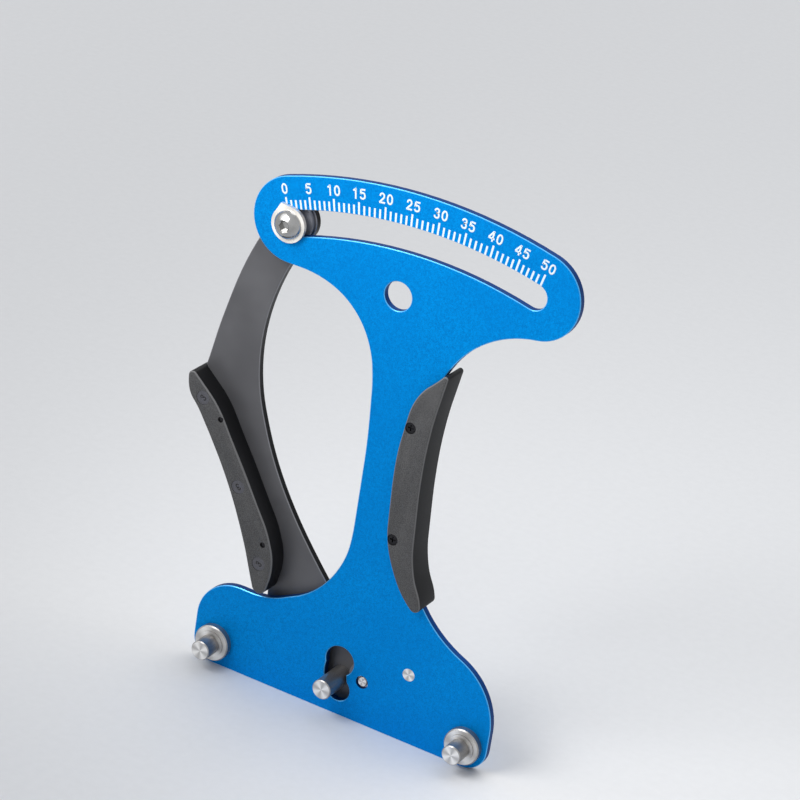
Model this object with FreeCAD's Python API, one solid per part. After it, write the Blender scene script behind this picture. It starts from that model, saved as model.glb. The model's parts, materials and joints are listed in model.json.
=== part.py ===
import FreeCAD, Part
import math
import os

# Spoke tension meter, in millimetres.
# A flat dial plate carries two fixed posts along its foot, a grip along one side of its waist and a
# curved slot with a scale at its head. A flat lever turns behind the plate on a pivot close to the
# moving post, so a small move of that post sweeps the pointer far along the slot. A torsion spring,
# wound round the pivot behind the lever, turns the pointer back to zero.
# While it is built, X runs to the right, Z runs up and Y runs to the back. The pivot axis is
# X = Z = 0, and the front of the dial plate is Y = 0. At the end everything is moved so that the
# origin lies under the middle of the whole tool, at its foot.

# Shared values
OVERRUN = 1.0            # how far a cutter reaches past the face that it cuts
PRESS_GAP = 0.02         # radial play of a piece that is pressed or screwed into its seat
RUN_GAP = 0.04           # radial play of a shaft that turns in its bore
SIDE_GAP = 0.1           # play between two flat faces that slide on each other
BEAR_GAP = 0.2           # play between the spring's wire and the studs that its legs bear on

# Curved slot, the line that the head and the hanging hole follow
SLOT_MID_R = 145.9
SLOT_W = 8.2
SLOT_LEFT_DEG = -19.2
SLOT_RIGHT_DEG = 13.65

# Dial plate
PLATE_T = 2.5
PLATE_EDGE = 0.22        # chamfer round both faces
HEAD_RIM = 14.5          # from the middle of the slot to the top edge
HEAD_TOP_R = SLOT_MID_R + HEAD_RIM
HEAD_LOBE_R = 13.6       # round ends of the head
HEAD_LEFT_DEG = -18.45   # direction of the left round end, clockwise from straight up
HEAD_RIGHT_DEG = 14.05
HEAD_FLAT = 4.8          # level stretch under the left round end
HEAD_UNDER_DEG = 278.0   # where the right round end gives way to the hollow edge below it
WAIST_LEFT = 11.0        # from the pivot to the left side of the waist
WAIST_LOW = 51.0         # height at which the left side of the waist starts
WAIST_HIGH = 72.0        # height at which it starts to open into the head
FOOT_CORNER_R = 7.7      # lower corners, round the fixed posts
FOOT_LOBE_R = 14.0       # upper left corner of the foot
FOOT_TOP = 14.8          # height of the level edge of the foot's left part
FOOT_FLAT = 4.7          # length of that level edge
FOOT_RIGHT_R = 22.3      # upper right corner of the foot
FOOT_RIGHT_DEG = 67.0    # how far round that corner goes
HOOK_X = 16.3            # corner where the foot meets the lower end of the grip
HOOK_Z = 32.3
NECK_X = 12.0            # corner where the head meets the upper end of the grip
NECK_DROP = 35.4         # how far that corner lies below the top of the slot's middle line
NECK_Z = SLOT_MID_R - NECK_DROP
TONGUE_DEPTH = 7.2       # how far the plate's edge inside the grip lies in from those corners

# Hanging hole
HANG_HOLE_R = 4.57
HANG_HOLE_X = -8.36
HANG_HOLE_DROP = 18.44   # below the top of the slot's middle line

# Fixed posts and their collars
POST_R = 3.2
POST_REACH = 8.7         # from the front of the plate to the end of a post
POST_EDGE = 0.3
POST_DROP = 6.6          # the fixed posts lie this far below the pivot
POST_LEFT_X = -53.0
POST_RIGHT_X = 37.4
POST_TAIL_R = 2.4        # turned down to pass through the plate
POST_SEAT_R = 2.9        # turned down where the collar sits
POST_NECK = 0.3          # how far that seat shows above the collar
COLLAR_R = 6.0
COLLAR_T = 2.3
COLLAR_EDGE = 0.35
COLLAR_LIP_R = 4.3
COLLAR_LIP_T = 0.35

# Moving post and the opening in the plate that it swings in
ARM_POST_AWAY = 9.54     # from the pivot to the moving post
ARM_POST_DEG = 16.6      # at rest it lies this far below the level line through the pivot
ARM_POST_TAIL_R = 2.5
ARM_POST_HEAD_R = 3.4    # riveted over behind the lever
ARM_POST_HEAD_T = 0.7
WINDOW_SIDE_GAP = 0.7    # between the post and the narrow part of the opening
WINDOW_TOP_R = 4.95
WINDOW_TOP_DEG = 25.0    # the wide upper end lies this far above the level line
WINDOW_FOOT_R = 4.05
WINDOW_FOOT_DEG = 35.0

# Lever
LEVER_GAP = 1.5          # between the back of the plate and the front of the lever
LEVER_T = 2.5
LEVER_EDGE = 0.25
LEVER_TURN_DEG = 32.0    # full squeeze
POINTER_DEG = -18.85     # direction of the pointer from the pivot, at zero
LEVER_TIP_R = 6.8
LEVER_HUB_R = 11.5
LEVER_DEPTH = 28.1       # how far the inner edge bows out from the straight way up
LEVER_BULGE = 2.6        # how far the outer edge bows out above the grip
LEVER_SHOULDER = (-71.3, 82.4)
LEVER_TONGUE_TOP = (-69.2, 78.6)
LEVER_TONGUE_FOOT = (-39.9, 20.5)
LEVER_TONGUE_DEG = -50.6  # direction in which the lever's edge inside the grip starts
LEVER_BELLY = 23.0       # how far the lower edge bows out on its way to the hub

# Grips
GRIP_FRONT = 3.05        # from the front of the plate to the front of both grips
GRIP_FLANGE = 4.5        # thickness of a grip behind the plate or the lever
GRIP_EDGE = 0.4
PLATE_GRIP_TOE = (13.3, 32.0)
PLATE_GRIP_FOOT = (16.5, 33.9)
PLATE_GRIP_TOP_X = 13.4
PLATE_GRIP_TOP_DROP = 2.0   # below the plate's upper corner
PLATE_GRIP_CROWN_X = 11.8
PLATE_GRIP_CROWN_DROP = 1.3
PLATE_GRIP_HOLLOW = 4.8
PLATE_GRIP_BELLY = 11.7
PLATE_GRIP_TOE_DEG = -40.0  # direction of the inner side where it meets the toe
PLATE_GRIP_TOP_DEG = 81.0   # direction of the outer side at its top
LEVER_GRIP_TOP = (-73.2, 80.3)
LEVER_GRIP_CREST = (-70.6, 81.6)
LEVER_GRIP_HEEL = (-65.1, 77.0)
LEVER_GRIP_TOE = (-37.4, 17.7)
LEVER_GRIP_FOOT = (-41.2, 18.8)
LEVER_GRIP_HOLLOW = 2.4
LEVER_GRIP_BELLY = 7.8
LEVER_GRIP_FOOT_DEG = -68.0  # direction of the outer side at its foot

# Screws of the grips
PLATE_SCREW_X = 3.9
PLATE_SCREW_RISE = 20.1  # the lower screw above the plate's lower corner
PLATE_SCREW_DROP = 20.7  # the upper screw below the plate's upper corner
LEVER_SCREW_LOW = (-39.4, 34.0)
LEVER_SCREW_HIGH = (-59.9, 69.6)
SCREW_HEAD_R = 1.6
SCREW_HEAD_T = 1.0
SCREW_SINK = 0.3         # how far a screw head lies below the grip's face
SCREW_SEAT_GAP = 0.2     # round the head
SCREW_SHANK_R = 0.9
SCREW_END = 0.5          # how far the other end of a screw lies below the grip's far face
SCREW_SLOT_W = 0.45
SCREW_SLOT_L = 1.9
SCREW_SLOT_DEPTH = 0.5
EJECTOR_R = 2.3
EJECTOR_DEPTH = 0.15
EJECTOR_LOW = (-39.9, 27.2)
EJECTOR_MID = (-50.7, 49.9)
EJECTOR_HIGH = (-67.0, 74.6)

# Pivot
PIVOT_R = 2.1
PIVOT_RECESS = 0.25      # the pin's end lies this far behind the front of the plate
PIVOT_NOSE_R = 1.6       # turned down at the front, so that a dark ring shows round it
PIVOT_NOSE_T = 1.0
PIVOT_EDGE = 0.2
BUSH_R = 3.3
THRUST_R = 6.0
REAR_WASHER_R = 5.2
REAR_WASHER_T = 0.6
SLEEVE_R = 3.5
DOME_R = 3.9
DOME_FLAT = 1.4          # height of the dome nut's straight side
DOME_H = 3.2
DOME_WALL = 0.8          # metal left over the end of its threaded hole

# Spring and what it bears on
WIRE_R = 0.65
COIL_R = 4.7             # to the middle of the wire
COIL_TURNS = 3           # whole turns, less the angle between the two legs
COIL_PITCH = 1.95
COIL_LIFT = 0.3          # from the rear washer to the first turn
COIL_EASE_SHARE = 0.05   # share of the coil's length over which it leaves the level of a leg
LEG_PAST = 4.0           # how far each leg runs on beyond its stud
ANCHOR_X = 15.2
ANCHOR_Z = 8.8
ANCHOR_R = 2.06
ANCHOR_FLANGE_R = 3.0
ANCHOR_FLANGE_T = 0.8
ANCHOR_PAST = 1.4        # how far the anchor stud reaches past the leg
STUD_X = -19.5
STUD_Z = 17.5
STUD_R = 3.1
STUD_TAIL_R = 2.4
STUD_GROOVE_R = 2.5
STUD_GROOVE_GAP = 0.25   # between the wire and each side of the groove
STUD_PAST = 3.0          # how far the stud reaches past the groove
STUD_EDGE = 0.35

# Pointer
POINTER_R = 5.7
POINTER_T = 1.2
POINTER_TIP_L = 6.9      # from the screw to the point
POINTER_LEAN_DEG = -9.0  # the point leans this far from the line through the pivot
POINTER_TIP_W = 5.4      # width of the point where it leaves the round part
POINTER_GAP = 0.3        # between the plate and the pointer
POINTER_SLEEVE_GAP = 0.3  # between the sleeve and each side of the slot
SLIDE_WASHER_R = 6.0
BUTTON_R = 4.5
BUTTON_H = 2.6
BUTTON_TOP_R = 2.2
BUTTON_SIDE = 0.35
HEX_ACROSS = 3.0
HEX_DEPTH = 1.5
HEX_LEAD_R = 1.9         # round lead-in at the mouth of the socket
HEX_LEAD_T = 0.3
POINTER_SCREW_R = 2.4
NUT_ACROSS = 8.0
NUT_T = 3.6
NUT_EDGE = 0.5
SCREW_PAST_NUT = 0.6

# Points of curves between two named ends: shares of the way, and of the named depth or bulge
TONGUE_SHARES = ((0.36, 1.0), (0.51, 0.96))
GRIP_HOLLOW_SHARES = ((0.13, 0.7), (0.4, 1.0), (0.77, 0.69))
GRIP_BELLY_SHARES = ((0.2, 0.82), (0.45, 1.0), (0.7, 0.93), (0.89, 0.62))
LEVER_HOLLOW_SHARES = ((0.06, -0.55), (0.172, 0.0), (0.56, 1.0), (0.8, 0.7))
LEVER_BELLY_SHARES = ((0.05, 0.44), (0.153, 0.885), (0.27, 1.0), (0.45, 0.84), (0.7, 0.55))
LEVER_INNER_SHARES = ((0.05, 0.235), (0.2725, 0.755), (0.5255, 1.0), (0.646, 0.99), (0.931, 0.351))
LEVER_OUTER_SHARES = ((0.374, 1.0), (0.72, 0.7))
LEVER_LOWER_SHARES = ((0.17, 0.33), (0.42, 0.55), (0.7, 0.46))
# Shares of the box between two named ends, across and up
FOOT_RISE_SHARES = ((0.255, 0.04), (0.4, 0.1), (0.55, 0.17), (0.94, 0.615))
HEAD_RISE_SHARES = ((0.026, 0.337), (0.058, 0.524), (0.098, 0.63), (0.352, 0.865))

# Places along Y and sizes that follow from the values above
PLATE_BACK = PLATE_T
LEVER_FRONT = PLATE_BACK + LEVER_GAP
LEVER_BACK = LEVER_FRONT + LEVER_T
SLEEVE_START = LEVER_BACK + SIDE_GAP + REAR_WASHER_T
COIL_START = SLEEVE_START + COIL_LIFT + WIRE_R
PIVOT = (0.0, 0.0)


def flat(point):
    """A point of the drawing plane, given as (x, z)."""
    return FreeCAD.Vector(point[0], 0, point[1])


def on_dial(radius, degrees):
    """A point about the pivot, clockwise from straight up."""
    a = math.radians(degrees)
    return radius * math.sin(a), radius * math.cos(a)


def around(centre, radius, degrees):
    """A point about a centre, anticlockwise from +X."""
    a = math.radians(degrees)
    return centre[0] + radius * math.cos(a), centre[1] + radius * math.sin(a)


def line(a, b):
    return Part.makeLine(flat(a), flat(b))


def arc(a, middle, b):
    return Part.Arc(flat(a), flat(middle), flat(b)).toShape()


def tangent_arc(start, corner, end):
    """An arc from start to end whose tangents there meet at the corner."""
    reach = (corner - start).Length
    weight = (end - start).Length / 2 / reach
    middle = (start + end + corner * (2 * weight)) * (1 / (2 + 2 * weight))
    return Part.Arc(start, middle, end).toShape()


def biarc(a, way_a, b, way_b):
    """Two arcs that join a to b and keep both directions."""
    v = b - a
    both = way_a + way_b
    spread = 2 * (1 - way_a.dot(way_b))
    reach = v.dot(v) / (math.sqrt(v.dot(both) ** 2 + spread * v.dot(v)) + v.dot(both))
    corner_a = a + way_a * reach
    corner_b = b - way_b * reach
    joint = (corner_a + corner_b) * 0.5
    return [tangent_arc(a, corner_a, joint), tangent_arc(joint, corner_b, b)]


def smooth(points, start_deg, end_deg):
    """Arcs through the points, with the given directions at both ends.

    At each inner point they follow the circle through it and its two neighbours.
    """
    spots = [flat(p) for p in points]
    ways = [flat(around(PIVOT, 1.0, start_deg))]
    for before, here, after in zip(spots, spots[1:], spots[2:]):
        u = here - before
        v = after - here
        ways.append((u * v.dot(v) + v * u.dot(u)).normalize())
    ways.append(flat(around(PIVOT, 1.0, end_deg)))
    edges = []
    for a, way_a, b, way_b in zip(spots, ways, spots[1:], ways[1:]):
        edges += biarc(a, way_a, b, way_b)
    return edges


def bowed(a, b, bow, shares):
    """Points from a to b that bow to the left of the way from a to b."""
    dx = b[0] - a[0]
    dz = b[1] - a[1]
    length = math.hypot(dx, dz)
    inner = []
    for along, out in shares:
        x = a[0] + dx * along - dz / length * bow * out
        z = a[1] + dz * along + dx / length * bow * out
        inner.append((x, z))
    return [a] + inner + [b]


def bow_arc(a, b, bow):
    """An arc from a to b whose middle lies to the left of the way from a to b."""
    return arc(*bowed(a, b, bow, ((0.5, 1.0),)))


def leaving_arc(a, start_deg, b):
    """An arc from a to b that leaves a in the given direction, and its direction at b."""
    chord_deg = math.degrees(math.atan2(b[1] - a[1], b[0] - a[0]))
    turn_deg = (start_deg - chord_deg + 180) % 360 - 180
    bow = math.dist(a, b) / 2 * math.tan(math.radians(turn_deg) / 2)
    return bow_arc(a, b, bow), chord_deg - turn_deg


def boxed(a, b, shares):
    """Points from a to b by shares of the box that they span."""
    inner = [(a[0] + (b[0] - a[0]) * across, a[1] + (b[1] - a[1]) * up) for across, up in shares]
    return [a] + inner + [b]


def slab(edges, front, thickness):
    """A flat piece of the given outline."""
    face = Part.Face(Part.Wire(Part.sortEdges(edges)[0]))
    face.translate(FreeCAD.Vector(0, front, 0))
    return face.extrude(FreeCAD.Vector(0, thickness, 0))


def rod(spot, radius, front, back):
    base = FreeCAD.Vector(spot[0], front, spot[1])
    return Part.makeCylinder(radius, back - front, base, FreeCAD.Vector(0, 1, 0))


def ring(spot, radius, bore, front, back):
    return rod(spot, radius, front, back).cut(rod(spot, bore, front - OVERRUN, back + OVERRUN))


def turned(spot, profile):
    """A piece turned about a Y axis; the profile lists (radius, place along Y)."""
    points = [FreeCAD.Vector(spot[0] + r, y, spot[1]) for r, y in profile]
    face = Part.Face(Part.makePolygon(points + [points[0]]))
    return face.revolve(flat(spot), FreeCAD.Vector(0, 1, 0), 360)


def hexagon(spot, across, front, back, turn_deg):
    """A six-sided prism about a Y axis."""
    corner = across / math.sqrt(3)
    points = [flat(around(spot, corner, turn_deg + 60 * i)) for i in range(7)]
    face = Part.Face(Part.makePolygon(points))
    face.translate(FreeCAD.Vector(0, front, 0))
    return face.extrude(FreeCAD.Vector(0, back - front, 0))


def rim_edges(shape, planes):
    """The edges that lie in the given planes across Y."""
    close = PLATE_T * 1e-6
    edges = []
    for edge in shape.Edges:
        box = edge.BoundBox
        if box.YLength < close and any(abs(box.YMin - y) < close for y in planes):
            edges.append(edge)
    return edges


def ease(shape, size, planes):
    return shape.makeChamfer(size, rim_edges(shape, planes))


HOOK = (HOOK_X, HOOK_Z)
NECK = (NECK_X, NECK_Z)
HANG_HOLE = (HANG_HOLE_X, SLOT_MID_R - HANG_HOLE_DROP)
PLATE_GRIP_TOP = (PLATE_GRIP_TOP_X, NECK_Z - PLATE_GRIP_TOP_DROP)
PLATE_GRIP_CROWN = (PLATE_GRIP_CROWN_X, NECK_Z - PLATE_GRIP_CROWN_DROP)
PLATE_SCREW_LOW = (PLATE_SCREW_X, HOOK_Z + PLATE_SCREW_RISE)
PLATE_SCREW_HIGH = (PLATE_SCREW_X, NECK_Z - PLATE_SCREW_DROP)
LEFT_POST = (POST_LEFT_X, -POST_DROP)
RIGHT_POST = (POST_RIGHT_X, -POST_DROP)
ARM_POST = around(PIVOT, ARM_POST_AWAY, 180 + ARM_POST_DEG)
ANCHOR = (ANCHOR_X, ANCHOR_Z)
STUD = (STUD_X, STUD_Z)
POINTER = on_dial(SLOT_MID_R, POINTER_DEG)


def plate_blank():
    """The plate before its openings are cut."""
    left = POST_LEFT_X - FOOT_CORNER_R
    right = POST_RIGHT_X + FOOT_CORNER_R
    bottom = -POST_DROP - FOOT_CORNER_R
    lobe = (left + FOOT_LOBE_R, FOOT_TOP - FOOT_LOBE_R)
    level_end = (lobe[0] + FOOT_FLAT, FOOT_TOP)
    waist_low = (-WAIST_LEFT, WAIST_LOW)
    waist_high = (-WAIST_LEFT, WAIST_HIGH)
    head_left = on_dial(HEAD_TOP_R - HEAD_LOBE_R, HEAD_LEFT_DEG)
    head_right = on_dial(HEAD_TOP_R - HEAD_LOBE_R, HEAD_RIGHT_DEG)
    head_bottom = around(head_left, HEAD_LOBE_R, 270)
    head_level = (head_bottom[0] + HEAD_FLAT, head_bottom[1])
    top_left = on_dial(HEAD_TOP_R, HEAD_LEFT_DEG)
    top_middle = on_dial(HEAD_TOP_R, (HEAD_LEFT_DEG + HEAD_RIGHT_DEG) / 2)
    top_right = on_dial(HEAD_TOP_R, HEAD_RIGHT_DEG)
    under_right = around(head_right, HEAD_LOBE_R, HEAD_UNDER_DEG)
    corner = (right - FOOT_RIGHT_R, 0.0)
    corner_end = around(corner, FOOT_RIGHT_R, FOOT_RIGHT_DEG)
    foot_side, hook_deg = leaving_arc(corner_end, FOOT_RIGHT_DEG + 90, HOOK)
    head_side, neck_deg = leaving_arc(under_right, HEAD_UNDER_DEG - 90, NECK)
    edges = [
        line((POST_LEFT_X, bottom), (POST_RIGHT_X, bottom)),
        arc((POST_RIGHT_X, bottom), around(RIGHT_POST, FOOT_CORNER_R, 315), (right, -POST_DROP)),
        line((right, -POST_DROP), (right, corner[1])),
        arc((right, corner[1]), around(corner, FOOT_RIGHT_R, FOOT_RIGHT_DEG / 2), corner_end),
        foot_side,
        *smooth(bowed(HOOK, NECK, TONGUE_DEPTH, TONGUE_SHARES), hook_deg, neck_deg + 180),
        head_side,
        arc(under_right, around(head_right, HEAD_LOBE_R, 0), top_right),
        arc(top_right, top_middle, top_left),
        arc(top_left, around(head_left, HEAD_LOBE_R, 180), head_bottom),
        line(head_bottom, head_level),
        *smooth(boxed(waist_high, head_level, HEAD_RISE_SHARES), 90, 180),
        line(waist_high, waist_low),
        *smooth(boxed(level_end, waist_low, FOOT_RISE_SHARES), 0, 90),
        line(level_end, (lobe[0], FOOT_TOP)),
        arc((lobe[0], FOOT_TOP), around(lobe, FOOT_LOBE_R, 135), (left, lobe[1])),
        line((left, lobe[1]), (left, -POST_DROP)),
        arc((left, -POST_DROP), around(LEFT_POST, FOOT_CORNER_R, 225), (POST_LEFT_X, bottom)),
    ]
    return slab(edges, 0, PLATE_T)


def dial_slot(radius, width, start_deg, end_deg, front, back):
    """A slot along a circle about the pivot, with round ends."""
    middle = (start_deg + end_deg) / 2
    inner = radius - width / 2
    outer = radius + width / 2
    start = on_dial(radius, start_deg)
    end = on_dial(radius, end_deg)
    edges = [
        arc(on_dial(outer, start_deg), on_dial(outer, middle), on_dial(outer, end_deg)),
        arc(on_dial(outer, end_deg), around(end, width / 2, -end_deg), on_dial(inner, end_deg)),
        arc(on_dial(inner, end_deg), on_dial(inner, middle), on_dial(inner, start_deg)),
        arc(on_dial(inner, start_deg), around(start, width / 2, 180 - start_deg), on_dial(outer, start_deg)),
    ]
    return slab(edges, front, back - front)


def post_window(front, back):
    """The opening that the moving post swings in, with a wide upper end and a smaller lower one."""
    width = 2 * (POST_R + WINDOW_SIDE_GAP)
    rest = -90 - ARM_POST_DEG
    window = dial_slot(ARM_POST_AWAY, width, rest, rest + LEVER_TURN_DEG, front, back)
    upper = around(PIVOT, ARM_POST_AWAY, 180 - WINDOW_TOP_DEG)
    lower = around(PIVOT, ARM_POST_AWAY, 180 + WINDOW_FOOT_DEG)
    ends = [rod(upper, WINDOW_TOP_R, front, back), rod(lower, WINDOW_FOOT_R, front, back)]
    return window.multiFuse(ends).removeSplitter()


def dial_plate():
    front = -OVERRUN
    back = PLATE_BACK + OVERRUN
    openings = [
        dial_slot(SLOT_MID_R, SLOT_W, SLOT_LEFT_DEG, SLOT_RIGHT_DEG, front, back),
        rod(HANG_HOLE, HANG_HOLE_R, front, back),
        post_window(front, back),
    ]
    plate = ease(plate_blank().cut(openings), PLATE_EDGE, (0.0, PLATE_BACK))
    seats = [(PIVOT, PIVOT_R), (ANCHOR, ANCHOR_R), (LEFT_POST, POST_TAIL_R), (RIGHT_POST, POST_TAIL_R),
             (PLATE_SCREW_LOW, SCREW_SHANK_R), (PLATE_SCREW_HIGH, SCREW_SHANK_R)]
    return plate.cut([rod(spot, radius + PRESS_GAP, front, back) for spot, radius in seats])


def fixed_post(spot):
    """A post turned down to a seat for its collar and to a tail that fills its hole in the plate."""
    seat_front = -COLLAR_T - COLLAR_LIP_T - POST_NECK
    return turned(spot, (
        (0.0, -POST_REACH), (POST_R - POST_EDGE, -POST_REACH), (POST_R, POST_EDGE - POST_REACH),
        (POST_R, seat_front), (POST_SEAT_R, seat_front), (POST_SEAT_R, 0.0),
        (POST_TAIL_R, 0.0), (POST_TAIL_R, PLATE_BACK), (0.0, PLATE_BACK)))


def collar(spot):
    """A ring round the foot of a fixed post, with a raised lip next to the post."""
    bore = POST_SEAT_R + PRESS_GAP
    lip = -COLLAR_T - COLLAR_LIP_T
    return turned(spot, (
        (bore, lip), (COLLAR_LIP_R, lip), (COLLAR_LIP_R, -COLLAR_T),
        (COLLAR_R - COLLAR_EDGE, -COLLAR_T), (COLLAR_R, COLLAR_EDGE - COLLAR_T),
        (COLLAR_R, 0.0), (bore, 0.0)))


def lever_blank():
    """The lever before its holes are cut."""
    hub_top = around(PIVOT, LEVER_HUB_R, 78)
    hub_bottom = around(PIVOT, LEVER_HUB_R, 265)
    tip_inner = around(POINTER, LEVER_TIP_R, -28)
    tip_outer = around(POINTER, LEVER_TIP_R, 155)
    tongue, tongue_deg = leaving_arc(LEVER_TONGUE_TOP, LEVER_TONGUE_DEG, LEVER_TONGUE_FOOT)
    edges = [
        *smooth(bowed(hub_top, tip_inner, LEVER_DEPTH, LEVER_INNER_SHARES), 168, 62),
        arc(tip_inner, around(POINTER, LEVER_TIP_R, 63), tip_outer),
        *smooth(bowed(tip_outer, LEVER_SHOULDER, -LEVER_BULGE, LEVER_OUTER_SHARES), 245, 258),
        line(LEVER_SHOULDER, LEVER_TONGUE_TOP),
        tongue,
        *smooth(bowed(LEVER_TONGUE_FOOT, hub_bottom, -LEVER_BELLY, LEVER_LOWER_SHARES), tongue_deg, 355),
        arc(hub_bottom, around(PIVOT, LEVER_HUB_R, -10), hub_top),
    ]
    return slab(edges, LEVER_FRONT, LEVER_T)


def lever_arm():
    lever = ease(lever_blank(), LEVER_EDGE, (LEVER_FRONT, LEVER_BACK))
    seats = [(PIVOT, BUSH_R), (ARM_POST, ARM_POST_TAIL_R), (STUD, STUD_TAIL_R), (POINTER, POINTER_SCREW_R),
             (LEVER_SCREW_LOW, SCREW_SHANK_R), (LEVER_SCREW_HIGH, SCREW_SHANK_R)]
    front = LEVER_FRONT - OVERRUN
    back = LEVER_BACK + OVERRUN
    return lever.cut([rod(spot, radius + PRESS_GAP, front, back) for spot, radius in seats])


def moving_post():
    """The post on the lever, riveted over at the back."""
    head_back = LEVER_BACK + ARM_POST_HEAD_T
    return turned(ARM_POST, (
        (0.0, -POST_REACH), (POST_R - POST_EDGE, -POST_REACH), (POST_R, POST_EDGE - POST_REACH),
        (POST_R, LEVER_FRONT), (ARM_POST_TAIL_R, LEVER_FRONT), (ARM_POST_TAIL_R, LEVER_BACK),
        (ARM_POST_HEAD_R, LEVER_BACK), (ARM_POST_TAIL_R, head_back), (0.0, head_back)))


def plate_grip_outline():
    toe, foot_deg = leaving_arc(PLATE_GRIP_TOE, PLATE_GRIP_TOE_DEG, PLATE_GRIP_FOOT)
    top, crown_deg = leaving_arc(PLATE_GRIP_TOP, PLATE_GRIP_TOP_DEG, PLATE_GRIP_CROWN)
    outer = bowed(PLATE_GRIP_FOOT, PLATE_GRIP_TOP, PLATE_GRIP_HOLLOW, GRIP_HOLLOW_SHARES)
    inner = bowed(PLATE_GRIP_TOE, PLATE_GRIP_CROWN, PLATE_GRIP_BELLY, GRIP_BELLY_SHARES)
    return [
        toe,
        *smooth(outer, foot_deg, PLATE_GRIP_TOP_DEG),
        top,
        *smooth(inner, PLATE_GRIP_TOE_DEG + 180, crown_deg + 180),
    ]


def lever_grip_outline():
    dx = LEVER_GRIP_CREST[0] - LEVER_GRIP_HEEL[0]
    dz = LEVER_GRIP_CREST[1] - LEVER_GRIP_HEEL[1]
    heel_deg = math.degrees(math.atan2(dz, dx))
    crest, top_deg = leaving_arc(LEVER_GRIP_CREST, heel_deg, LEVER_GRIP_TOP)
    toe, toe_deg = leaving_arc(LEVER_GRIP_FOOT, LEVER_GRIP_FOOT_DEG, LEVER_GRIP_TOE)
    outer = bowed(LEVER_GRIP_TOP, LEVER_GRIP_FOOT, LEVER_GRIP_HOLLOW, LEVER_HOLLOW_SHARES)
    inner = bowed(LEVER_GRIP_TOE, LEVER_GRIP_HEEL, -LEVER_GRIP_BELLY, LEVER_BELLY_SHARES)
    return [
        *smooth(outer, top_deg, LEVER_GRIP_FOOT_DEG),
        toe,
        *smooth(inner, toe_deg, heel_deg),
        line(LEVER_GRIP_HEEL, LEVER_GRIP_CREST),
        crest,
    ]


def grip_body(outline, back, insert):
    """A moulded grip with soft edges and a slot for the edge of the plate or lever."""
    body = slab(outline, -GRIP_FRONT, GRIP_FRONT + back)
    body = ease(body, GRIP_EDGE, (-GRIP_FRONT, back))
    return body.cut(insert)


def grip_screw(spot, face, way, far):
    """A screw whose head lies below the face; way is 1 if the screw points to +Y, or -1."""
    top = face + way * SCREW_SINK
    seat = top + way * SCREW_HEAD_T
    end = far - way * SCREW_END
    screw = turned(spot, (
        (0.0, top), (SCREW_HEAD_R, top), (SCREW_HEAD_R, seat),
        (SCREW_SHANK_R, seat), (SCREW_SHANK_R, end), (0.0, end)))
    slot_front = min(top, top + way * SCREW_SLOT_DEPTH)
    base = FreeCAD.Vector(spot[0] - SCREW_SLOT_L / 2, slot_front, spot[1] - SCREW_SLOT_W / 2)
    slot = Part.makeBox(SCREW_SLOT_L, SCREW_SLOT_DEPTH, SCREW_SLOT_W, base)
    cross = slot.copy()
    cross.rotate(flat(spot), FreeCAD.Vector(0, 1, 0), 90)
    return screw.cut([slot, cross])


def screw_hole(spot, face, way, far):
    """The hole of such a screw, open at both faces of the grip."""
    seat = face + way * (SCREW_SINK + SCREW_HEAD_T)
    start = face - way * OVERRUN
    end = far + way * OVERRUN
    head = rod(spot, SCREW_HEAD_R + SCREW_SEAT_GAP, min(start, seat), max(start, seat))
    shank = rod(spot, SCREW_SHANK_R + PRESS_GAP, min(start, end), max(start, end))
    return head.fuse(shank)


def plate_grip():
    back = PLATE_BACK + GRIP_FLANGE
    body = grip_body(plate_grip_outline(), back, plate_blank())
    return body.cut([screw_hole(spot, -GRIP_FRONT, 1, back) for spot in (PLATE_SCREW_LOW, PLATE_SCREW_HIGH)])


def lever_grip():
    back = LEVER_BACK + GRIP_FLANGE
    body = grip_body(lever_grip_outline(), back, lever_blank())
    cuts = [screw_hole(spot, back, -1, -GRIP_FRONT) for spot in (LEVER_SCREW_LOW, LEVER_SCREW_HIGH)]
    for spot in (EJECTOR_LOW, EJECTOR_MID, EJECTOR_HIGH):
        cuts.append(rod(spot, EJECTOR_R, -GRIP_FRONT - OVERRUN, EJECTOR_DEPTH - GRIP_FRONT))
    return body.cut(cuts)


def plate_grip_screws():
    back = PLATE_BACK + GRIP_FLANGE
    screws = [grip_screw(spot, -GRIP_FRONT, 1, back) for spot in (PLATE_SCREW_LOW, PLATE_SCREW_HIGH)]
    return Part.makeCompound(screws)


def lever_grip_screws():
    back = LEVER_BACK + GRIP_FLANGE
    screws = [grip_screw(spot, back, -1, -GRIP_FRONT) for spot in (LEVER_SCREW_LOW, LEVER_SCREW_HIGH)]
    return Part.makeCompound(screws)


def leg_direction(stud, off_axis):
    """Direction in degrees of a line that passes the pivot and a stud at the given distances."""
    away = math.hypot(stud[0], stud[1])
    return math.degrees(math.atan2(stud[1], stud[0]) + math.asin(off_axis / away))


def spring_layout():
    """Where the coil starts and ends, in degrees from +X, and how long each leg is."""
    anchor_off = ANCHOR_R + WIRE_R + BEAR_GAP - COIL_R
    stud_off = COIL_R - (STUD_GROOVE_R + WIRE_R + BEAR_GAP)
    start = leg_direction(ANCHOR, anchor_off) + 90
    end = leg_direction(STUD, stud_off) - 90 + 360 * COIL_TURNS
    anchor_leg = math.sqrt(math.hypot(*ANCHOR) ** 2 - anchor_off ** 2) + LEG_PAST
    stud_leg = math.sqrt(math.hypot(*STUD) ** 2 - stud_off ** 2) + LEG_PAST
    return start, end, anchor_leg, stud_leg


def coil_rise():
    start, end = spring_layout()[:2]
    return COIL_PITCH * (end - start) / 360


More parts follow.
